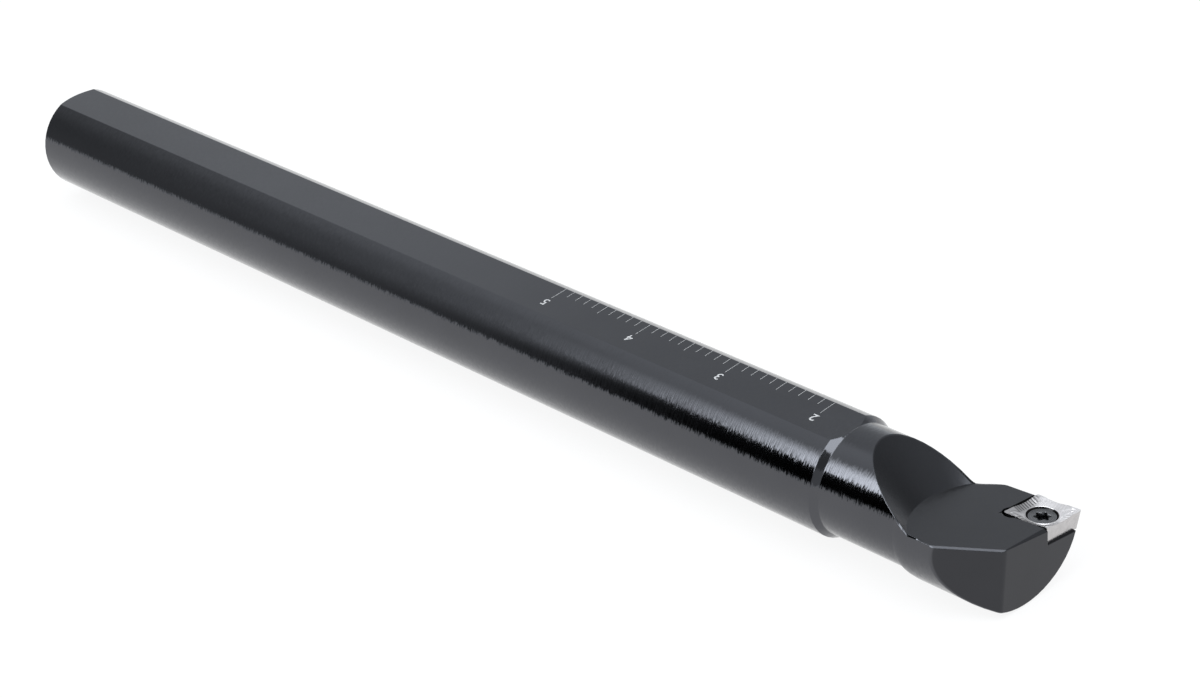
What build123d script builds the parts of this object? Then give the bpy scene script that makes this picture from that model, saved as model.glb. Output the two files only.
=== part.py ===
from build123d import *
import os
from math import cos, radians, sin, tan

# Boring bar with a screw-clamped 80 degree insert. Millimetres and degrees.
#
# Frame: the origin is the centre of the tail end face, on the shank's axis. +X runs along the bar
# to the cutting tip, +Z is the outward normal of the top flat, and the tip points to +Y.
# Lengths named "..._to_tip" are measured back from the cutting tip, as a machinist reads them.

# Bar
overall_length = 304.8       # tail end face to cutting tip
shank_diameter = 25.4
across_flats = 23.2          # over the two flats, top and bottom
tail_chamfer = 1.5
shoulder_to_tip = 42.2       # where the full shank ends
shoulder_length = 1.5        # cone from the shank down to the neck
neck_diameter = 23.4

# Head: a larger round, off centre towards the tip. From head_to_tip on to the front it keeps
# its size. The neck swells into it over the rounds listed below, each as distance to the tip,
# radius and offset, and the last of them flares on to the head's full size.
head_to_tip = 9.8
head_radius = 13.95
head_offset = 2.0
neck_end_to_tip = 22.2
swell_rounds = [
    (neck_end_to_tip, neck_diameter / 2, 0.0),
    (20.5, 12.3, 0.0),
    (17.9, 13.3, 1.1),
    (16.3, 13.7, 1.65),
]

# Seat floor and gullet
rake_tilt = 6.5              # the floor falls towards the tip by this angle
floor_drop = 0.2             # the floor lies this far under the insert's corners
gullet_to_tip = 24.3         # deepest point of the gullet wall, on the floor
gullet_radius = 18.5         # of the wall where it meets the floor
gullet_centre_y = 1.6
gullet_wall_lean = 46.5      # from the floor's normal

# Side relief and front face
relief_angle = 36.0          # of the relief face to the bar's axis
relief_lean = 1.5
relief_corner_y = -3.95      # where the relief meets the front face
relief_corner_radius = 1.5
relief_break = 0.4           # of the floor, by the 45 degree chamfer along the relief face
front_face_angle = 6.0       # from square
front_undercut = 3.0
front_lead = 0.5             # the front face stands ahead of the insert's lower front edge
front_break = 0.15           # of the floor, by the chamfer along the front face, at the relief
front_break_turn = 3.0       # of that chamfer, so that it widens towards the insert
front_break_fall = 35.0      # of that chamfer, below the floor
edge_break = 0.2             # chamfer where those two faces cut the round of the head

# Cutting tip
tip_offset = 17.2            # from the shank's axis to the tip's corner
approach_angle = 95.0        # from the feed direction to the leading edge

# Insert: 80 degree rhombus
inscribed_circle = 9.525
insert_thickness = 3.97
corner_angle = 80.0
nose_radius = 0.4
foot_nose_radius = 0.2
clearance_angle = 7.0
insert_hole_diameter = 4.4
dish_depth = 0.9             # from the corners down to the rim round the hole
rim_diameter = 7.3
dish_slope = 20.0            # of the chip former, from the rim up to the cutting edges
countersink_diameter = 6.3
countersink_angle = 60.0

# Pocket
seat_gap = 0.05              # between the insert's foot and the pocket's walls
pocket_draft = 8.0            # of the walls, a little steeper than the insert's flanks
pocket_reach = 3             # the pocket's walls run on this many insert edges, out of the bar
corner_relief_radius = 1.9
corner_relief_shift = 1.65   # its centre lies this far in from the insert's sharp corner

# Clamp screw
screw_diameter = 4.0
screw_length = 8.5
screw_head_diameter = 5.7
screw_sink = 1.15            # the head's top lies this far under the insert's corners
screw_cone_gap = 0.03
screw_end_chamfer = 0.5
thread_gap = 0.05            # between the thread's outside and the tapped hole
socket_size = 3.35           # across the six lobes
socket_waist = 2.4           # across the six flutes
socket_flute_radius = 0.6
socket_corner_radius = 0.12
socket_depth = 1.6

shank_radius = shank_diameter / 2
neck_radius = neck_diameter / 2
clear = 2 * (head_radius + shank_diameter)      # reaches past the bar from anywhere in it
on_plane = 0.001             # a point this near to a plane lies on it


def from_tip(distance):
    """X of a point that lies this far behind the cutting tip."""
    return overall_length - distance


# The rake frame: its origin is the tip's sharp corner, its Z the normal of the insert's top.
# Its X is the bar's own X, because the floor tilts about the bar's axis only.
rake_frame = Pos(overall_length, tip_offset, 0) * Rot(-rake_tilt, 0, 0)

# The insert's frame: the same plane, with its origin at the insert's centre and its X along the
# long diagonal, out to the cutting corner. The front edge is then on the -Y side.
insert_edge = inscribed_circle / sin(radians(corner_angle))
half_long = insert_edge * cos(radians(corner_angle / 2))
half_short = insert_edge * sin(radians(corner_angle / 2))
side_edge_angle = 180 - corner_angle - approach_angle        # of the side edge to the bar's axis
diagonal_angle = corner_angle / 2 + side_edge_angle
insert_frame = rake_frame * Rot(0, 0, diagonal_angle) * Pos(-half_long, 0, 0)
foot_shrink = insert_thickness * tan(radians(clearance_angle))   # the flanks move in by this much


def rhombus_corners(grow=0.0):
    """Corners of the insert's outline, from the cutting one, with each side moved out by grow."""
    scale = 1 + grow / (inscribed_circle / 2)
    long, short = half_long * scale, half_short * scale
    return [(long, 0), (0, short), (-long, 0), (0, -short)]


def rhombus(grow, at_z, corner_radius):
    """The insert's outline as a face with rounded corners."""
    sharp = make_face(Polyline(*rhombus_corners(grow), close=True))
    return Pos(0, 0, at_z) * fillet(sharp.vertices(), corner_radius)


def turned(*outline):
    """Solid of revolution about Z from (radius, z) points, listed from the axis and back to it."""
    points = [(radius, 0, z) for radius, z in outline]
    return revolve(make_face(Polyline(*points, close=True)), Axis.Z)


# ---------------------------------------------------------------- bar

def turned_shank_and_neck():
    """Tail chamfer, shank, shoulder and neck."""
    shoulder_x = from_tip(shoulder_to_tip)
    neck_end_x = from_tip(neck_end_to_tip)
    outline = Polyline(
        (0, 0),
        (0, shank_radius - tail_chamfer),
        (tail_chamfer, shank_radius),
        (shoulder_x, shank_radius),
        (shoulder_x + shoulder_length, neck_radius),
        (neck_end_x, neck_radius),
        (neck_end_x, 0),
        close=True,
    )
    return revolve(make_face(outline), Axis.X)


def flat_cuts():
    """The material that the two flats take off, along the shank only."""
    slab = Box(
        from_tip(shoulder_to_tip) + shoulder_length, clear, clear,
        align=(Align.MIN, Align.CENTER, Align.MIN),
    )
    upper = Pos(0, 0, across_flats / 2) * slab
    return upper + Rot(180, 0, 0) * upper


def head_section(distance, radius, offset):
    """Round section this far behind the tip, moved off the shank's axis towards the tip's side."""
    centre = (from_tip(distance), offset, 0)
    return Plane(centre, x_dir=(0, 0, -1), z_dir=(1, 0, 0)) * Circle(radius)


def head_round():
    """The neck swelling into the off-centre round of the head, which runs on past the tip."""
    swell = [head_section(*measures) for measures in swell_rounds]
    head = head_section(head_to_tip, head_radius, head_offset)
    return loft(swell) + loft([swell[-1], head], ruled=True) + extrude(head, 2 * head_to_tip)


def gullet_and_floor():
    """What the conical gullet and the flat floor take off, open to the front over the whole head."""
    top_radius = gullet_radius + clear * tan(radians(gullet_wall_lean))
    on_floor = (Align.CENTER, Align.CENTER, Align.MIN)
    wall = Cone(gullet_radius, top_radius, clear, align=on_floor)
    front = Box(clear, 2 * clear, clear, align=(Align.MIN, Align.CENTER, Align.MIN))
    centre = Pos(gullet_radius - gullet_to_tip, gullet_centre_y - tip_offset, -floor_drop)
    return rake_frame * centre * (wall + front)


def front_face():
    """Plane of the front face, a little ahead of the insert's lower front edge."""
    corners = rhombus_corners(-foot_shrink)
    (x1, y1), (x2, y2) = corners[0], corners[3]
    edge_middle = (insert_frame * Pos((x1 + x2) / 2, (y1 + y2) / 2, -insert_thickness)).position
    normal = (1, -tan(radians(front_face_angle)), -tan(radians(front_undercut)))
    return Plane(edge_middle + Vector(front_lead, 0, 0), z_dir=normal)


def side_relief(front):
    """Plane of the tall relief face, which slants back from the front face, away from the tip."""
    step_y = relief_corner_y - front.origin.Y
    step_z = -front.origin.Z
    corner_x = front.origin.X + step_y * tan(radians(front_face_angle)) + step_z * tan(radians(front_undercut))
    normal = (tan(radians(relief_angle)), -1, tan(radians(relief_lean)))
    return Plane((corner_x, relief_corner_y, 0), z_dir=normal)


def floor_break(face, width, fall, turn=0.0):
    """Plane that breaks the floor's edge along a face, this wide where relief and front meet."""
    floor = Plane(rake_frame).offset(-floor_drop)
    edge = floor.intersect(face)
    start = edge.position + edge.direction * ((relief_corner_y - edge.position.Y) / edge.direction.Y)
    outward = floor.z_dir.cross(edge.direction).normalized()
    if outward.dot(face.z_dir) < 0:
        outward = -outward
    slant = outward.rotate(Axis(start, floor.z_dir), turn)
    normal = floor.z_dir * cos(radians(fall)) + slant * sin(radians(fall))
    return Plane(start - outward * width, z_dir=normal)


def is_on(point, plane):
    return abs(plane.to_local_coords(point).Z) < on_plane


def lies_on(edge, *planes):
    """Whether an edge lies in every one of the planes."""
    return all(is_on(edge @ share, plane) for plane in planes for share in (0, 0.5, 1))


def beyond(plane):
    """Block that fills everything outside a plane."""
    return plane * Box(2 * clear, 2 * clear, clear, align=(Align.CENTER, Align.CENTER, Align.MIN))


def pocket():
    """Flat seat, two drafted walls that meet at the corner relief, and an open front and side."""
    depth = insert_thickness + floor_drop
    inner, side = rhombus_corners(seat_gap - foot_shrink)[2:0:-1]
    wall_x, wall_y = pocket_reach * (side[0] - inner[0]), pocket_reach * (side[1] - inner[1])
    opening = Polyline(
        inner,
        (inner[0] + wall_x, wall_y),
        (inner[0] + 2 * wall_x, 0),
        (inner[0] + wall_x, -wall_y),
        close=True,
    )
    walls = extrude(make_face(opening), depth, taper=-pocket_draft)
    corner = Pos(corner_relief_shift - half_long, 0, 0) * Cylinder(
        corner_relief_radius, depth, align=(Align.CENTER, Align.CENTER, Align.MIN)
    )
    return insert_frame * Pos(0, 0, -insert_thickness) * (walls + corner)


def tapped_hole():
    """Hole for the clamp screw, through the head under the seat."""
    radius = screw_diameter / 2 + thread_gap
    return insert_frame * Cylinder(radius, clear, align=(Align.CENTER, Align.CENTER, Align.MAX))


def round_edges(body, front, relief):
    """The arcs where the front face and the relief face cut the round of the head."""
    return [
        edge for edge in body.edges().filter_by(GeomType.LINE, reverse=True)
        if (lies_on(edge, front) or lies_on(edge, relief)) and (edge @ 0.5).Z < 0
    ]


def bar():
    front = front_face()
    relief = side_relief(front)
    body = turned_shank_and_neck() - flat_cuts() + head_round()
    body = body - gullet_and_floor() - beyond(front) - beyond(relief)
    body = fillet([edge for edge in body.edges() if lies_on(edge, front, relief)], relief_corner_radius)
    body = body - beyond(floor_break(front, front_break, front_break_fall, front_break_turn))
    body = body - beyond(floor_break(relief, relief_break, 45))
    body = chamfer(round_edges(body, front, relief), edge_break)
    return body - pocket() - tapped_hole()


# ---------------------------------------------------------------- insert

def insert():
    """Rhombus with clearance on its flanks, a dished top and a countersunk hole."""
    top = rhombus(0, 0, nose_radius)
    foot = rhombus(-foot_shrink, -insert_thickness, foot_nose_radius)
    block = loft([foot, top], ruled=True)
    rim_radius = rim_diameter / 2
    dish_reach = half_long
    dish_top = (dish_reach - rim_radius) * tan(radians(dish_slope)) - dish_depth
    dish = turned((0, -dish_depth), (rim_radius, -dish_depth), (dish_reach, dish_top), (0, dish_top))
    hole_radius = insert_hole_diameter / 2
    seat_radius = countersink_diameter / 2
    cone_foot = -dish_depth - (seat_radius - hole_radius) / tan(radians(countersink_angle / 2))
    hole = turned(
        (0, 0), (seat_radius, 0), (seat_radius, -dish_depth), (hole_radius, cone_foot),
        (hole_radius, -insert_thickness), (0, -insert_thickness),
    )
    return insert_frame * (block - dish - hole)


# ---------------------------------------------------------------- clamp screw

def six_lobe():
    """Socket outline: a round with six flutes standing in."""
    outline = Circle(socket_size / 2)
    flute = Pos(socket_waist / 2 + socket_flute_radius, 0) * Circle(socket_flute_radius)
    for number in range(6):
        outline -= Rot(0, 0, 60 * number + 30) * flute
    return fillet(outline.vertices(), socket_corner_radius)


def clamp_screw():
    """Countersunk screw. Its cone bears in the insert's countersink."""
    slope = tan(radians(countersink_angle / 2))
    seat_radius = countersink_diameter / 2 - screw_cone_gap / cos(radians(countersink_angle / 2))
    cap_radius = screw_head_diameter / 2
    radius = screw_diameter / 2
    cone_top = -dish_depth - (seat_radius - cap_radius) / slope
    cone_foot = -dish_depth - (seat_radius - radius) / slope
    end = -screw_sink - screw_length
    body = turned(
        (0, -screw_sink), (cap_radius, -screw_sink), (cap_radius, cone_top), (radius, cone_foot),
        (radius, end + screw_end_chamfer), (radius - screw_end_chamfer, end), (0, end),
    )
    socket = extrude(Pos(0, 0, -screw_sink) * six_lobe(), -socket_depth)
    return insert_frame * (body - socket)


os.makedirs("parts", exist_ok=True)
export_step(bar(), "parts/bar.step")
export_step(insert(), "parts/insert.step")
export_step(clamp_screw(), "parts/clamp_screw.step")
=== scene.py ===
from math import atan2, cos, exp, hypot, pi, radians, sin, sqrt, tan

import bpy
from mathutils import Matrix, Vector


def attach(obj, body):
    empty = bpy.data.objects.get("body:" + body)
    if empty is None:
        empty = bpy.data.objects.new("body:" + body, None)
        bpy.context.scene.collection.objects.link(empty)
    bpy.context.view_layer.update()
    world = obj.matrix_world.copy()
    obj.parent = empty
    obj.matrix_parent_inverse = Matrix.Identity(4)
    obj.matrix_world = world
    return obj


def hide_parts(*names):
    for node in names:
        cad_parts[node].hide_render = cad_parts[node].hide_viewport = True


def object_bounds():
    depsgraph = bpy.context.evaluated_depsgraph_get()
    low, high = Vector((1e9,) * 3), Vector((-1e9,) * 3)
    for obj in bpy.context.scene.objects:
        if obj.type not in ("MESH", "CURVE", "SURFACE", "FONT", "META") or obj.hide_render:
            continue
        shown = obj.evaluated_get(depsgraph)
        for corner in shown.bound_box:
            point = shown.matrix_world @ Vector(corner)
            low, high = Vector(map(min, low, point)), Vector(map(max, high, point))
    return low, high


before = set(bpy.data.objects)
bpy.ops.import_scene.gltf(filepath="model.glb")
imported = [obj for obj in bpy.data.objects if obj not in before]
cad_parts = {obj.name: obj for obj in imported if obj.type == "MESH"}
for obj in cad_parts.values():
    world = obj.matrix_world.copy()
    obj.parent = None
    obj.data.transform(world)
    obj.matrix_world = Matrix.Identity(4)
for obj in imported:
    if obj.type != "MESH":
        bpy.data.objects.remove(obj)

cad_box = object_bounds()

# Boring bar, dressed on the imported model. The frame is the model's own: the origin is the centre
# of the tail end face, +X runs to the cutting tip, +Z is the top flat's normal. Sizes are in mm
# and are turned into metres with MM where they reach Blender.

MM = 0.001

# ---------------------------------------------------------------- sizes, as in the model

overall_length = 304.8
across_flats = 23.2
shank_diameter = 25.4
shoulder_to_tip = 42.2
neck_diameter = 23.4
neck_end_to_tip = 22.2
head_radius = 13.95
head_offset = 2.0
rake_tilt = 6.5
tip_offset = 17.2
approach_angle = 95.0

inscribed_circle = 9.525
insert_thickness = 3.97
corner_angle = 80.0
clearance_angle = 7.0
nose_radius = 0.4
foot_nose_radius = 0.2
insert_hole_diameter = 4.4
countersink_diameter = 6.3
countersink_angle = 60.0
dish_depth = 0.9

screw_diameter = 4.0
screw_length = 8.5
screw_head_diameter = 5.7
screw_sink = 1.15
screw_cone_gap = 0.03
screw_end_chamfer = 0.5
socket_size = 3.35
socket_waist = 2.4
socket_depth = 1.6

# ---------------------------------------------------------------- detail that only the scene has

# Chip former of the insert
polished_rim_diameter = 6.8
rim_lip = 0.06               # the polished rim round the hole stands this high
dish_slope = 23.0            # from the rim up to the cutting edges
dish_blend = 0.10            # rounding where the slope meets the flat corners
ridge_pitch = 0.66           # fine ridges along the cutting edges
ridge_reach = 1.6            # they run this far in from the edge
ridge_rise = 0.15            # and reach full height this far in
ridges_from, ridges_to = -3.0, 3.4    # along each edge, from its middle towards the acute corner
ridges_fade = 0.8
ridge_heights = {"S-B": 0.036, "N-T": 0.026, "S-T": 0.006, "B-N": 0.034}
groove_depth = 0.10          # two grooves that run in from each acute corner
groove_width = 0.13
groove_from, groove_to = 0.8, 3.9     # distance from the corner
groove_spread = 0.22         # the two grooves part by this much per mm
groove_start = 0.05

# Clamp screw
thread_pitch = 0.7
thread_depth = 0.38
ring_pitch = 0.42            # turned rings on the head
ring_depth = 0.05
socket_chamfer = 0.10
head_chamfer = 0.12
screw_ring_points = 144

# Scale on the top flat: a line every tenth of an inch, numbered from the tip
inch = 25.4
scale_zero_to_tip = -0.85    # the scale counts from a point just ahead of the tip
scale_first = 2
scale_last = 5
long_line = 4.5
middle_line = 3.3
short_line = 2.35
line_width = 0.13
line_inset = 0.03            # the lines begin this far inside the flat's edge
mark_height = 0.012          # engraved marks are drawn as a film this thick on the flat
number_height = 2.3
number_gap = 0.85            # from the end of a long line to its number
number_weight = 0.02         # thickens the strokes
capital_share = 0.73         # height of a numeral as a share of the font's size

# Painted shade: a black line beside the insert, along the pocket's two walls, stands for the shadow in the
# gap there
gap_shade_widths = {"S-B": 0.55, "B-N": 0.15}
gap_shade_depth = 0.8

# The swelling behind the head shades more softly than the model's shape: from and to these distances
# behind the tip, its normal is mixed with a plain round's by swelling_share
swelling_from, swelling_to = 26.0, 14.0
swelling_fade = 3.0
swelling_share = 0.75
head_swell_length = 7.0      # the round grows from the neck's to the head's over this length

# Worn edges
bar_edge_radius = 0.22
small_edge_radius = 0.05     # of the insert and the screw

# ---------------------------------------------------------------- finish

turned_level, milled_level = 0.092, 0.052          # how much of the light the black oxide reflects
turned_roughness, milled_roughness = 0.10, 0.24
oxide_tint = (0.955, 0.972, 1.055)
# colour of the painted shade in the gap beside the insert
gap_shade_level = 0.004

polished_low, polished_high = 0.36, 0.80           # the insert's top, from its inner to its outer corner
ground_level = 0.50
# unground carbide in the hole, darkened further as painted shade
hole_finish_and_shade_level = 0.02
polished_roughness, ground_roughness = 0.23, 0.26
carbide_tint = (1.03, 1.0, 1.0)

screw_level = 0.13
screw_roughness = 0.22
screw_tint = (0.98, 0.99, 1.03)

line_paleness = 0.36
number_paleness = 0.52

# ---------------------------------------------------------------- camera, in metres

camera_place = (0.54987, -0.30652, 0.29318)
camera_aim = (0.192945, 0.0, 0.004227)
camera_roll = -7.66
camera_lens = 78.32
camera_sensor = 36.0

tip_x = overall_length
flat_z = across_flats / 2
shank_radius = shank_diameter / 2
neck_radius = neck_diameter / 2
half_flat = sqrt(shank_radius ** 2 - flat_z ** 2)


def from_tip(distance):
    """X of a point that lies this far behind the cutting tip."""
    return overall_length - distance


# The insert's frame, as in the model: the top plane, centred, with X along the long diagonal.
insert_edge = inscribed_circle / sin(radians(corner_angle))
half_long = insert_edge * cos(radians(corner_angle / 2))
half_short = insert_edge * sin(radians(corner_angle / 2))
diagonal_angle = corner_angle / 2 + 180 - corner_angle - approach_angle
insert_frame = (
    Matrix.Translation(Vector((tip_x, tip_offset, 0)) * MM)
    @ Matrix.Rotation(radians(-rake_tilt), 4, "X")
    @ Matrix.Rotation(radians(diagonal_angle), 4, "Z")
    @ Matrix.Translation(Vector((-half_long, 0, 0)) * MM)
)

# ---------------------------------------------------------------- node helpers


class Nodes:
    """Adds nodes to a material or world and links them."""

    def __init__(self, owner):
        owner.use_nodes = True
        self.tree = owner.node_tree
        self.tree.nodes.clear()

    def add(self, kind, inputs=None, **settings):
        node = self.tree.nodes.new(kind)
        for name, value in settings.items():
            setattr(node, name, value)
        for name, value in (inputs or {}).items():
            self.feed(node.inputs[name], value)
        return node

    def feed(self, socket, value):
        if isinstance(value, bpy.types.NodeSocket):
            self.tree.links.new(value, socket)
        else:
            socket.default_value = value

    def math(self, operation, a, b=0.0, c=0.0):
        node = self.add("ShaderNodeMath", operation=operation)
        for socket, value in zip(node.inputs, (a, b, c)):
            self.feed(socket, value)
        return node.outputs[0]

    def ramp(self, value, low, high, to_low=0.0, to_high=1.0):
        """Smooth step of value from low to high, put out as to_low to to_high."""
        node = self.add("ShaderNodeMapRange", interpolation_type="SMOOTHSTEP", clamp=True)
        settings = {"From Min": low, "From Max": high, "To Min": to_low, "To Max": to_high}
        for name, number in {"Value": value, **settings}.items():
            self.feed(node.inputs[name], number)
        return node.outputs["Result"]

    def times(self, *values):
        total = values[0]
        for value in values[1:]:
            total = self.math("MULTIPLY", total, value)
        return total

    def plus(self, *values):
        total = values[0]
        for value in values[1:]:
            total = self.math("ADD", total, value)
        return total

    def mix(self, share, a, b):
        node = self.add("ShaderNodeMix", data_type="FLOAT")
        for name, value in {"Factor": share, "A": a, "B": b}.items():
            self.feed(node.inputs[name], value)
        return node.outputs["Result"]

    def vector(self, x, y, z):
        node = self.add("ShaderNodeCombineXYZ")
        for socket, value in zip(node.inputs, (x, y, z)):
            self.feed(socket, value)
        return node.outputs[0]

    def vector_math(self, operation, a, b=None, scale=None):
        node = self.add("ShaderNodeVectorMath", operation=operation)
        self.feed(node.inputs[0], a)
        if b is not None:
            self.feed(node.inputs[1], b)
        if scale is not None:
            self.feed(node.inputs["Scale"], scale)
        return node.outputs["Value"] if operation in ("DOT_PRODUCT", "LENGTH") else node.outputs[0]

    def xyz(self, vector):
        node = self.add("ShaderNodeSeparateXYZ", inputs={"Vector": vector})
        return node.outputs[0], node.outputs[1], node.outputs[2]

    def noise(self, vector, detail=2.0, roughness=0.5):
        """Noise about zero, from -0.5 to 0.5."""
        node = self.add("ShaderNodeTexNoise")
        node.inputs["Scale"].default_value = 1.0
        node.inputs["Detail"].default_value = detail
        node.inputs["Roughness"].default_value = roughness
        self.feed(node.inputs["Vector"], vector)
        return self.math("SUBTRACT", node.outputs[0], 0.5)

    def metal(self, colour, roughness, normal):
        """Metal of this colour; gives its shader."""
        shader = self.add("ShaderNodeBsdfPrincipled", inputs={"Metallic": 1.0, "Roughness": roughness})
        self.feed(shader.inputs["Base Color"], colour)
        self.feed(shader.inputs["Normal"], normal)
        return shader.outputs[0]

    def output(self, shader):
        out = self.add("ShaderNodeOutputMaterial")
        self.feed(out.inputs["Surface"], shader)


def grey(level):
    return (level, level, level, 1.0)


# ---------------------------------------------------------------- studio

studio_tint = (0.945, 0.985, 1.03, 1.0)
soft_box_strength = 5.8
lamp_strength = 3.6
floor_white = 0.88           # what the camera and reflections see of the floor, before its shading
floor_diffuse = 0.12
floor_reach = 6.0            # metres
floor_gap = 0.2              # below the bar, in mm, as all sizes that don't say metres


def make_camera():
    data = bpy.data.cameras.new("camera")
    data.lens = camera_lens
    data.sensor_width = camera_sensor
    data.clip_start = 0.01
    camera = bpy.data.objects.new("camera", data)
    bpy.context.scene.collection.objects.link(camera)
    view = Vector(camera_aim) - Vector(camera_place)
    turn = view.to_track_quat("-Z", "Y").to_matrix() @ Matrix.Rotation(radians(camera_roll), 3, "Z")
    camera.matrix_world = Matrix.Translation(camera_place) @ turn.to_4x4()
    bpy.context.scene.camera = camera


def far_side(n, x, z):
    """Light from behind the bar: brightest low down, dim towards the tip, uneven along the bar."""
    low_down = n.ramp(z, 0.05, 0.35, 1.09, 0.72)
    tip_wall = n.mix(n.ramp(x, -0.15, 0.25), 1.0, n.ramp(z, 0.15, 0.65, 0.34, 0.95))
    tail_rise = n.ramp(x, -0.80, -0.74, 1.03, 1.17)
    tail_dip = n.ramp(x, -0.71, -0.63, 1.0, 0.82)
    middle_rise = n.ramp(x, -0.57, -0.52, 1.0, 1.28)
    tip_dip = n.ramp(x, -0.40, -0.10, 1.0, 0.80)
    return n.times(low_down, tip_wall, tail_rise, tail_dip, middle_rise, tip_dip)


def near_side(n, x, y, z):
    """Light from the camera's side: dim towards both ends, with a dark band above the horizon."""
    aside = n.ramp(y, -0.50, 0.0, n.ramp(x, -0.70, -0.60, 0.52, 0.85), 1.0)
    tail_end = n.ramp(x, -0.86, -0.66, 0.25, 1.0)
    tip_end = n.ramp(x, 0.10, 0.35, 1.0, 0.30)
    above = n.times(tail_end, aside, tip_end)
    band_at_tail = n.ramp(x, -0.70, -0.60, 0.26, 0.0)
    band_at_tip = n.ramp(x, -0.10, 0.15, 0.0, 0.5)
    horizon = n.ramp(z, 0.06, 0.0, 0.0, 0.7)
    band_foot = n.ramp(x, -0.70, -0.60, 0.08, 0.42)
    band_top = 0.47
    return n.mix(n.ramp(z, band_foot, band_top), n.plus(band_at_tail, band_at_tip, horizon), above)


def soft_box(n, x, y, z):
    """A long soft box on the near side, which grows brighter towards the tip."""
    full_from, growth_rate = -0.56, 38.0
    below_full = n.math("MINIMUM", n.math("SUBTRACT", x, full_from), 0.0)
    growth = n.math("EXPONENT", n.times(below_full, growth_rate))
    foot, top = n.ramp(z, 0.43, 0.47), n.ramp(z, 0.75, 0.60)
    near_edge, tip_edge = n.ramp(y, -0.25, -0.42), n.ramp(x, 0.20, -0.10)
    return n.times(foot, top, near_edge, tip_edge, growth, soft_box_strength)


def lamp_over_tip(n, x, y, z):
    """A lamp high over the tip, with a slanting near edge."""
    slant = n.math("SUBTRACT", y, n.times(x, 0.6))
    tail_edge, tip_edge = n.ramp(x, -0.15, 0.0), n.ramp(x, 0.66, 0.58)
    near_edge, far_edge = n.ramp(slant, -0.68, -0.63), n.ramp(y, 0.28, 0.16)
    return n.times(tail_edge, tip_edge, near_edge, far_edge, n.ramp(z, 0.70, 0.78), lamp_strength)


def studio_light(n, x, y, z):
    """How bright the studio is in a direction: x to the tip's side, y to the far side, z up."""
    room = n.mix(n.ramp(y, 0.02, 0.25), near_side(n, x, y, z), far_side(n, x, z))
    return n.plus(room, soft_box(n, x, y, z), lamp_over_tip(n, x, y, z))


def make_world():
    """The studio round the object, the same for every ray. The floor is the white background."""
    world = bpy.data.worlds.new("studio")
    bpy.context.scene.world = world
    n = Nodes(world)
    x, y, z = n.xyz(n.add("ShaderNodeTexCoord").outputs["Generated"])
    light = n.add("ShaderNodeBackground", inputs={"Strength": studio_light(n, x, y, z)})
    light.inputs["Color"].default_value = studio_tint
    out = n.add("ShaderNodeOutputWorld")
    n.feed(out.inputs["Surface"], light.outputs[0])


def floor_material():
    """White paper, as white in reflections as in the view. Its diffuse part keeps the shadow."""
    material = bpy.data.materials.new("floor_white")
    n = Nodes(material)
    path = n.add("ShaderNodeLightPath")
    seen = n.math("MAXIMUM", path.outputs["Is Camera Ray"], path.outputs["Is Glossy Ray"])
    seen = n.math("MAXIMUM", seen, path.outputs["Is Transmission Ray"])
    diffuse = n.add("ShaderNodeBsdfDiffuse", inputs={"Color": grey(floor_diffuse)})
    white = n.add("ShaderNodeEmission", inputs={"Strength": n.times(seen, floor_white)})
    total = n.add("ShaderNodeAddShader")
    n.feed(total.inputs[0], diffuse.outputs[0])
    n.feed(total.inputs[1], white.outputs[0])
    n.output(total.outputs[0])
    return material


def make_floor():
    """A wide white sheet just under the object, which keeps a soft shadow."""
    corners = [(x * floor_reach, y * floor_reach, 0) for x, y in ((-1, -1), (1, -1), (1, 1), (-1, 1))]
    mesh = bpy.data.meshes.new("floor")
    mesh.from_pydata(corners, [], [(0, 1, 2, 3)])
    mesh.materials.append(floor_material())
    floor = bpy.data.objects.new("floor", mesh)
    floor.location.z = cad_box[0].z - floor_gap * MM
    bpy.context.scene.collection.objects.link(floor)


# ---------------------------------------------------------------- materials

def place_in_mm(n):
    """The point on the piece, in mm."""
    return n.vector_math("SCALE", n.add("ShaderNodeTexCoord").outputs["Object"], scale=1 / MM)


def worn_normal(n, radius):
    """The surface's normal, with edges rounded to this radius."""
    return n.add("ShaderNodeBevel", samples=6, inputs={"Radius": radius * MM}).outputs[0]


def tilted(n, normal, *slopes):
    """Normal tilted by slopes, each a socket and the direction it acts along."""
    for slope, direction in slopes:
        normal = n.vector_math("ADD", normal, n.vector_math("SCALE", direction, scale=slope))
    return n.vector_math("NORMALIZE", normal)


def uneven(n, value, noise, swing):
    """Value made uneven by noise, by this share of itself."""
    return n.times(value, n.plus(1.0, n.times(noise, swing)))


def wall_line(n, place):
    """Share of the painted shade, a black line for the shadow in the gap along the pocket's two walls,
    measured in the insert's own frame.
    """
    origin = insert_frame.translation / MM
    axes = insert_frame.to_3x3().transposed()
    offset = n.vector_math("SUBTRACT", place, tuple(origin))
    along_x, along_y, height = (n.vector_math("DOT_PRODUCT", offset, tuple(axis)) for axis in axes)
    side = radians(corner_angle / 2)
    back = n.times(along_x, -sin(side))
    share = 0.0
    for turn, width in ((1, gap_shade_widths["S-B"]), (-1, gap_shade_widths["B-N"])):
        reach = n.plus(back, n.times(along_y, turn * cos(side)))
        outside = n.math("SUBTRACT", reach, inscribed_circle / 2)
        off_middle = n.math("ABSOLUTE", n.math("SUBTRACT", outside, width / 2))
        within = n.math("LESS_THAN", off_middle, width / 2)
        on_this_side = n.math("GREATER_THAN", n.times(along_y, turn), 0.0)
        share = n.plus(share, n.times(within, on_this_side))
    return n.times(share, n.math("GREATER_THAN", height, -gap_shade_depth))


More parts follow.
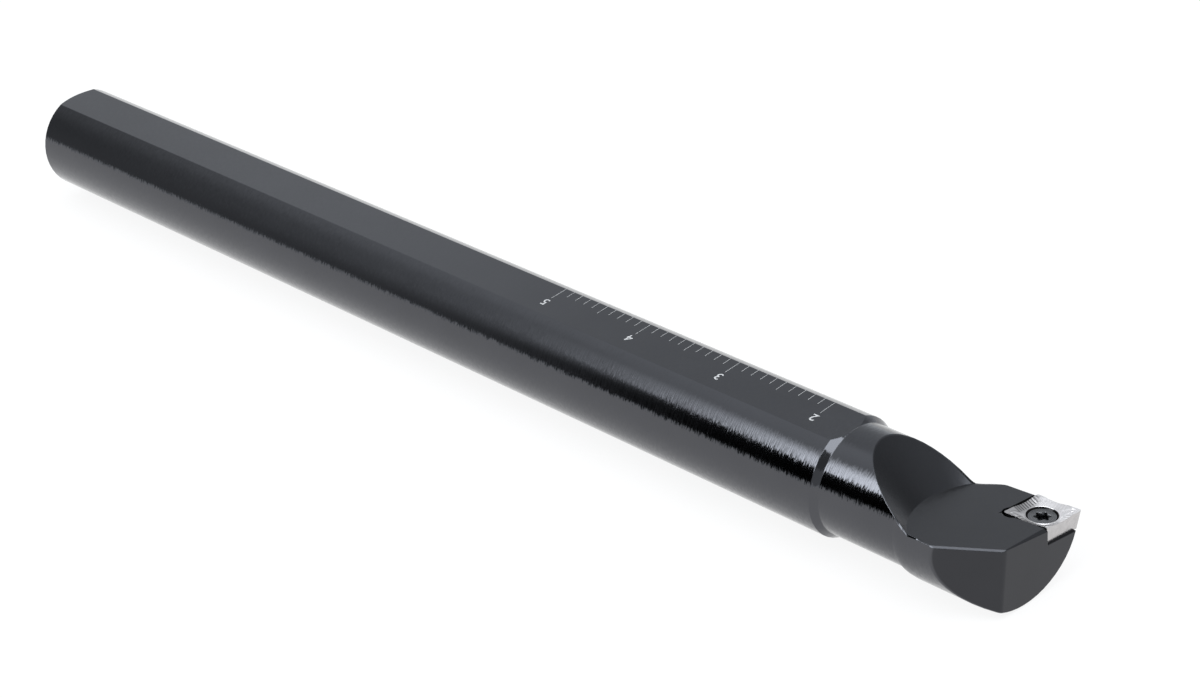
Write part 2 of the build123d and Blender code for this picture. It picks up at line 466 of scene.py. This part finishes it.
def inside_round(n, x, y, z):
    """Depth inside the round of the neck and head, and how far y lies off its centre."""
    head_start = from_tip(neck_end_to_tip)
    head_share = n.ramp(x, head_start, head_start + head_swell_length)
    radius = n.plus(neck_radius, n.times(head_share, head_radius - neck_radius))
    off_y = n.math("SUBTRACT", y, n.times(head_share, head_offset))
    from_axis = n.math("SQRT", n.plus(n.times(off_y, off_y), n.times(z, z)))
    return n.math("SUBTRACT", radius, from_axis), off_y


def smooth_swelling(n, normal, x, z, depth, off_y):
    """Normal on the near side of the swelling behind the head, mixed with a plain round's."""
    start = n.ramp(x, from_tip(swelling_from), from_tip(swelling_from - swelling_fade))
    end = n.ramp(x, from_tip(swelling_to), from_tip(swelling_to + swelling_fade))
    share = n.times(start, end, n.ramp(depth, 0.5, 0.2), n.ramp(z, 6.0, 3.0), swelling_share)
    radial = n.vector_math("NORMALIZE", n.vector(0.0, off_y, z))
    kept = n.vector_math("SCALE", normal, scale=n.math("SUBTRACT", 1.0, share))
    mixed = n.vector_math("ADD", kept, n.vector_math("SCALE", radial, scale=share))
    return n.vector_math("NORMALIZE", mixed)


def tool_marks(n, normal, x, y, z, milled):
    """Normal tilted by turning marks round the bar, and by faint stripes up the milled faces."""
    along = (1.0, 0.0, 0.0)
    around = n.vector_math("CROSS_PRODUCT", normal, along)
    angle = n.times(n.math("ARCTAN2", y, z), shank_radius)
    scratch = n.noise(n.vector(n.times(x, 3.0), n.times(angle, 0.7), 0.0), 4.0, 0.65)
    ring = n.noise(n.vector(n.times(x, 5.5), 0.0, 7.0), 2.0)
    stripe = n.noise(n.vector(n.times(x, 1.1), n.times(y, 1.1), n.times(z, 0.08)), 3.0, 0.6)
    turned = n.math("SUBTRACT", 1.0, milled)
    slope_around = n.times(scratch, turned, 0.24)
    slope_along = n.times(n.plus(ring, n.times(scratch, 0.6)), turned, 0.10)
    slope_milled = n.times(stripe, milled, 0.10)
    return tilted(n, normal, (slope_around, around), (slope_along, along), (slope_milled, along))


def bar_material():
    """Black oxide steel: turned round the shank and neck, milled on the faces of the head, with painted
    shade beside the insert.
    """
    material = bpy.data.materials.new("black_oxide")
    n = Nodes(material)
    place = place_in_mm(n)
    x, y, z = n.xyz(place)
    depth, off_y = inside_round(n, x, y, z)
    milled_from = from_tip(shoulder_to_tip - 3.0)
    past_shoulder = n.ramp(x, milled_from, milled_from + 0.1)
    milled = n.times(n.ramp(depth, 0.05, 0.35), past_shoulder)
    normal = smooth_swelling(n, worn_normal(n, bar_edge_radius), x, z, depth, off_y)
    normal = tool_marks(n, normal, x, y, z, milled)

    patch = n.noise(n.vector(n.times(x, 0.10), n.times(y, 0.12), n.times(z, 0.12)), 3.0)
    level = uneven(n, n.mix(milled, turned_level, milled_level), patch, 0.12)
    roughness = n.plus(n.mix(milled, turned_roughness, milled_roughness), n.times(patch, 0.04))
    steel = n.metal(n.vector_math("SCALE", oxide_tint, scale=level), roughness, normal)
    # painted shade: a black line where the pocket's gap lies beside the insert
    line = n.add("ShaderNodeBsdfDiffuse", inputs={"Color": grey(gap_shade_level)})
    mix = n.add("ShaderNodeMixShader", inputs={"Fac": n.times(wall_line(n, place), milled)})
    n.feed(mix.inputs[1], steel)
    n.feed(mix.inputs[2], line.outputs[0])
    n.output(mix.outputs[0])
    return material


def ridge_shade(n, x, y, polished):
    """Painted shade in the ridges beside the insert's edges: dark in their hollows, paler on their tops."""
    side = radians(corner_angle / 2)
    out_x, out_y = n.math("ABSOLUTE", x), n.math("ABSOLUTE", y)
    along = n.math("SUBTRACT", n.times(out_x, cos(side)), n.times(out_y, sin(side)))
    reach = n.plus(n.times(out_x, sin(side)), n.times(out_y, cos(side)))
    inward = n.math("SUBTRACT", inscribed_circle / 2, reach)
    wave = n.math("COSINE", n.times(along, 2 * pi / ridge_pitch))
    rows = n.times(n.ramp(inward, ridge_reach, ridge_reach - 0.4), n.ramp(along, 3.3, 2.6), polished)
    outer_half = n.ramp(y, 0.4, -0.4, 0.05, 0.30)
    rows = n.times(rows, n.mix(n.ramp(x, -0.6, 0.6), 0.72, outer_half))
    return n.math("SUBTRACT", 1.0, n.times(rows, n.plus(0.5, n.times(wave, 0.5))))


def carbide_material():
    """Uncoated carbide: polished on top, ground on the flanks, and dark in the hole, partly for its
    unground finish and partly as painted shade.
    """
    material = bpy.data.materials.new("uncoated_carbide")
    n = Nodes(material)
    x, y, z = n.xyz(place_in_mm(n))
    radius = n.math("SQRT", n.plus(n.times(x, x), n.times(y, y)))
    hole = n.ramp(radius, countersink_diameter / 2 + 0.02, countersink_diameter / 2 - 0.05)
    facing = n.xyz(n.add("ShaderNodeNewGeometry").outputs["True Normal"])[2]
    polished = n.ramp(facing, 0.35, 0.60)
    grinding = n.noise(n.vector(n.times(x, 9.0), n.times(y, 9.0), n.times(z, 1.5)), 2.0)
    patch = n.noise(n.vector(n.times(x, 0.9), n.times(y, 0.9), n.times(z, 0.9)), 3.0)

    top_level = n.ramp(x, -5.0, 1.5, polished_low, polished_high)
    # painted shade darkens the hollows between the ridges
    level = n.times(n.mix(polished, ground_level, top_level), ridge_shade(n, x, y, polished))
    level = n.mix(hole, uneven(n, level, patch, 0.3), hole_finish_and_shade_level)
    roughness = n.plus(n.mix(polished, ground_roughness, polished_roughness), n.times(patch, 0.08))
    along = (1.0, 0.0, 0.0)
    normal = tilted(n, worn_normal(n, small_edge_radius), (n.times(grinding, 0.10), along))
    n.output(n.metal(n.vector_math("SCALE", carbide_tint, scale=level), roughness, normal))
    return material


def screw_material():
    """Black oxide screw steel."""
    material = bpy.data.materials.new("screw_black")
    n = Nodes(material)
    patch = n.noise(n.vector_math("SCALE", place_in_mm(n), scale=1.5), 3.0)
    tint = n.vector_math("SCALE", screw_tint, scale=uneven(n, screw_level, patch, 0.3))
    roughness = n.plus(screw_roughness, n.times(patch, 0.06))
    n.output(n.metal(tint, roughness, worn_normal(n, small_edge_radius)))
    return material


def mark_material(name, paleness):
    """Laser-marked steel: pale, dull and a little uneven."""
    material = bpy.data.materials.new(name)
    n = Nodes(material)
    place = n.vector_math("SCALE", n.add("ShaderNodeTexCoord").outputs["Object"], scale=6 / MM)
    level = uneven(n, paleness, n.noise(place, 2.0), 0.6)
    shader = n.add("ShaderNodeBsdfPrincipled", inputs={"Roughness": 0.7, "Specular IOR Level": 0.2})
    n.feed(shader.inputs["Base Color"], n.vector_math("SCALE", (1.0, 1.0, 1.0), scale=level))
    n.output(shader.outputs[0])
    return material


# ---------------------------------------------------------------- pieces

def mesh_of_rings(name, rings, first_closed=True, last_closed=True):
    """Mesh through rings of points, all with one count, from the first ring to the last."""
    count = len(rings[0])
    faces = []
    for row in range(len(rings) - 1):
        for k in range(count):
            a, b = row * count + k, row * count + (k + 1) % count
            faces.append((a, a + count, b + count, b))
    if first_closed:
        faces.append(tuple(range(count)))
    if last_closed:
        faces.append(tuple(range((len(rings) - 1) * count, len(rings) * count))[::-1])
    mesh = bpy.data.meshes.new(name)
    mesh.from_pydata([Vector(point) * MM for ring in rings for point in ring], [], faces)
    return mesh


def add_piece(name, mesh, material, place=Matrix.Identity(4), smooth_angle=None):
    """Object for a piece, with its material, attached to the root body."""
    if smooth_angle is not None:
        mesh.polygons.foreach_set("use_smooth", [True] * len(mesh.polygons))
        mesh.set_sharp_from_angle(angle=radians(smooth_angle))
    mesh.materials.append(material)
    piece = bpy.data.objects.new(name, mesh)
    piece.matrix_world = place
    bpy.context.scene.collection.objects.link(piece)
    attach(piece, "root")
    return piece


def rhombus_outline(grow, corner_radius, side_points, corner_points):
    """Points round the insert's outline, with rounded corners and even steps along its sides."""
    scale = 1 + grow / (inscribed_circle / 2)
    corners = [
        (half_long * scale, 0, corner_angle), (0, half_short * scale, 180 - corner_angle),
        (-half_long * scale, 0, corner_angle), (0, -half_short * scale, 180 - corner_angle),
    ]
    arcs = []
    for x, y, angle in corners:
        reach = hypot(x, y)
        outward = atan2(y, x)
        centre = reach - corner_radius / sin(radians(angle / 2))
        half_turn = pi / 2 - radians(angle / 2)
        arcs.append([
            (
                centre * x / reach + corner_radius * cos(outward + half_turn * (2 * k / corner_points - 1)),
                centre * y / reach + corner_radius * sin(outward + half_turn * (2 * k / corner_points - 1)),
            )
            for k in range(corner_points + 1)
        ])
    points = []
    for number, arc in enumerate(arcs):
        points += arc
        (x1, y1), (x2, y2) = arc[-1], arcs[(number + 1) % 4][0]
        points += [
            (x1 + (x2 - x1) * k / side_points, y1 + (y2 - y1) * k / side_points)
            for k in range(1, side_points)
        ]
    return points


def smooth_min(a, b, width):
    share = clamped(0.5 + 0.5 * (b - a) / width)
    return b + (a - b) * share - width * share * (1 - share)


def bell(value, width):
    return exp(-(value / width) ** 2)


def clamped(share):
    return min(max(share, 0.0), 1.0)


def ridge_height(x, y):
    """Ridge height of the edge on this side; T and B are the acute corners, at +X and -X."""
    if x > 0:
        return ridge_heights["S-T" if y > 0 else "N-T"]
    return ridge_heights["S-B" if y > 0 else "B-N"]


def chip_former(x, y):
    """Height of the insert's top: a dish with ridged sides, and grooves at the acute corners."""
    rim = polished_rim_diameter / 2
    slope = tan(radians(dish_slope))
    height = smooth_min(-dish_depth + slope * (hypot(x, y) - rim), 0.0, dish_blend)
    side = radians(corner_angle / 2)
    inward = inscribed_circle / 2 - abs(x) * sin(side) - abs(y) * cos(side)
    along = abs(x) * cos(side) - abs(y) * sin(side)
    ridged = clamped((ridges_to - along) / ridges_fade) * clamped((along - ridges_from) / ridges_fade)
    ridged *= clamped(inward / ridge_rise) * clamped((ridge_reach - inward) / 0.5)
    height -= ridge_height(x, y) * ridged * (0.5 + 0.5 * cos(2 * pi * along / ridge_pitch))
    from_corner = half_long - abs(x)
    if groove_from < from_corner < groove_to:
        fade = min(from_corner - groove_from, groove_to - from_corner, 0.5) / 0.5
        off_groove = abs(y) - groove_start - groove_spread * from_corner
        height -= fade * groove_depth * bell(off_groove, groove_width)
    return height


def rim_height(radius):
    """Height of the polished rim between the countersink and the dish."""
    outer, inner = polished_rim_diameter / 2, countersink_diameter / 2
    share = (radius - inner) / (outer - inner)
    return -dish_depth + rim_lip * sqrt(max(0.0, 1 - (2 * share - 1) ** 2))


def dish_rings(top, directions):
    """Rings over the insert's top, from the polished rim out to the cutting edges."""
    rim = polished_rim_diameter / 2
    steps = 30
    rings = []
    for k in range(1, steps + 1):
        share = k / steps
        ring = []
        for (x, y), (cx, cy) in zip(top, directions):
            px = (1 - share) * cx * rim + share * x
            py = (1 - share) * cy * rim + share * y
            ring.append((px, py, chip_former(px, py)))
        rings.append(ring)
    return rings


def make_insert():
    """The insert, with its chip former, polished rim, countersink and ground flanks."""
    side_points, corner_points, rim_steps = 180, 8, 6
    hole_chamfer = 0.15
    top = rhombus_outline(0.0, nose_radius, side_points, corner_points)
    foot_shrink = insert_thickness * tan(radians(clearance_angle))
    foot = rhombus_outline(-foot_shrink, foot_nose_radius, side_points, corner_points)
    directions = [(x / hypot(x, y), y / hypot(x, y)) for x, y in top]
    hole_radius, seat_radius = insert_hole_diameter / 2, countersink_diameter / 2
    cone_foot = -dish_depth - (seat_radius - hole_radius) / tan(radians(countersink_angle / 2))

    def circle(radius, z):
        return [(radius * x, radius * y, z) for x, y in directions]

    foot_ring = [(x, y, -insert_thickness) for x, y in foot]
    rings = [
        foot_ring,
        circle(hole_radius + hole_chamfer, -insert_thickness),
        circle(hole_radius, -insert_thickness + hole_chamfer),
        circle(hole_radius, cone_foot),
    ]
    for k in range(rim_steps + 1):
        radius = seat_radius + (polished_rim_diameter / 2 - seat_radius) * k / rim_steps
        rings.append(circle(radius, rim_height(radius)))
    rings += dish_rings(top, directions) + [foot_ring]
    mesh = mesh_of_rings("insert_detail", rings, False, False)
    piece = add_piece("insert_detail", mesh, carbide_material(), insert_frame, smooth_angle=38)
    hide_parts("insert")


def socket_radius(angle):
    """Outline of the six-lobe socket."""
    mean, swing = (socket_size + socket_waist) / 4, (socket_size - socket_waist) / 4
    return mean + swing * cos(6 * angle)


def screw_ring(radius, z):
    """Ring of points whose radius and height may depend on the angle."""
    points = []
    for k in range(screw_ring_points):
        angle = 2 * pi * k / screw_ring_points
        r = radius(angle) if callable(radius) else radius
        points.append((r * cos(angle), r * sin(angle), z(angle, r) if callable(z) else z))
    return points


def socket_rings():
    """The socket, from its floor up to the chamfer at its mouth."""
    floor_dip, floor_fillet = 0.1, 0.03
    return [
        screw_ring(0.3, -screw_sink - socket_depth - floor_dip),
        screw_ring(lambda a: socket_radius(a) - floor_fillet, -screw_sink - socket_depth),
        screw_ring(socket_radius, -screw_sink - socket_chamfer),
        screw_ring(lambda a: socket_radius(a) + socket_chamfer, -screw_sink),
    ]


def head_rings():
    """The head's flat top with its turned rings, from the socket out to the chamfered rim."""
    steps = 26
    outer = screw_head_diameter / 2 - head_chamfer

    def head_ring(share):
        def radius(a):
            return (socket_radius(a) + socket_chamfer) * (1 - share) + outer * share

        def height(a, r):
            wave = 0.5 - 0.5 * cos(2 * pi * (outer - r) / ring_pitch)
            return -screw_sink - ring_depth * wave * min(1.0, 3 * share)

        return screw_ring(radius, height)

    rings = [head_ring(k / steps) for k in range(1, steps + 1)]
    return rings + [screw_ring(screw_head_diameter / 2, -screw_sink - head_chamfer)]


def thread_rings(top, end):
    """The thread between these heights, as rings whose radius turns with the angle."""
    rows_per_turn = 12
    rows = int((top - end) / thread_pitch * rows_per_turn)
    rings = []
    for row in range(1, rows + 1):
        z = top - (top - end) * row / rows

        def threaded(a, z=z):
            phase = (z / thread_pitch - a / (2 * pi)) % 1.0
            return screw_diameter / 2 - thread_depth * max(0.0, min(1.0, 1.25 - abs(2 * phase - 1) * 1.5))

        rings.append(screw_ring(threaded, z))
    return rings


def make_screw():
    """Clamp screw: six-lobe socket, turned rings on its head, cone and thread."""
    slope = tan(radians(countersink_angle / 2))
    seat = countersink_diameter / 2 - screw_cone_gap / cos(radians(countersink_angle / 2))
    head, shank = screw_head_diameter / 2, screw_diameter / 2
    cone_top = -dish_depth - (seat - head) / slope
    cone_foot = -dish_depth - (seat - shank) / slope
    end = -screw_sink - screw_length
    rings = socket_rings() + head_rings()
    rings += [screw_ring(head, cone_top), screw_ring(shank, cone_foot)]
    rings += thread_rings(cone_foot, end + screw_end_chamfer)
    rings.append(screw_ring(shank - screw_end_chamfer, end))
    mesh = mesh_of_rings("screw_detail", rings)
    piece = add_piece("screw_detail", mesh, screw_material(), insert_frame, smooth_angle=40)
    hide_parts("clamp_screw")


def make_scale(material):
    """The lines of the inch scale, from the flat's far edge inwards, as one piece."""
    corners, faces = [], []
    tenths = 10 * (scale_last - scale_first)
    for step in range(tenths + 1):
        x = from_tip(scale_zero_to_tip) - inch * (scale_first + step / 10)
        length = long_line if step % 10 == 0 else middle_line if step % 5 == 0 else short_line
        base = len(corners)
        for z in (flat_z, flat_z + mark_height):
            for y in (half_flat - line_inset, half_flat - length):
                for side in (-0.5, 0.5):
                    corners.append(Vector((x + side * line_width, y, z)) * MM)
        top, walls = (4, 5, 7, 6), ((0, 1, 5, 4), (1, 3, 7, 5), (3, 2, 6, 7), (2, 0, 4, 6))
        faces += [tuple(base + k for k in face) for face in (top, (0, 2, 3, 1), *walls)]
    mesh = bpy.data.meshes.new("scale_lines")
    mesh.from_pydata(corners, [], faces)
    add_piece("scale_lines", mesh, material)


def make_number(number, material):
    """A numeral beside its long line, read from the far side."""
    curve = bpy.data.curves.new("numeral", "FONT")
    curve.body = str(number)
    curve.align_x = "CENTER"
    curve.size = number_height / capital_share * MM
    curve.extrude = mark_height / 2 * MM
    curve.offset = number_weight * MM
    text = bpy.data.objects.new("numeral", curve)
    bpy.context.scene.collection.objects.link(text)
    mesh = bpy.data.meshes.new_from_object(text.evaluated_get(bpy.context.evaluated_depsgraph_get()))
    bpy.data.objects.remove(text)
    x = from_tip(scale_zero_to_tip) - inch * number
    y = half_flat - long_line - number_gap
    place = Matrix.Translation(Vector((x, y, flat_z + mark_height / 2)) * MM)
    add_piece("number_%d" % number, mesh, material, place @ Matrix.Rotation(pi, 4, "Z"))


def dress(node, material):
    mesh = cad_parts[node].data
    mesh.materials.clear()
    mesh.materials.append(material)


make_camera()
make_world()
make_floor()
dress("bar", bar_material())
make_insert()
make_screw()
make_scale(mark_material("marked_lines", line_paleness))
marked_numbers = mark_material("marked_numbers", number_paleness)
for number in range(scale_first, scale_last + 1):
    make_number(number, marked_numbers)

bpy.context.scene.view_settings.view_transform = "Standard"
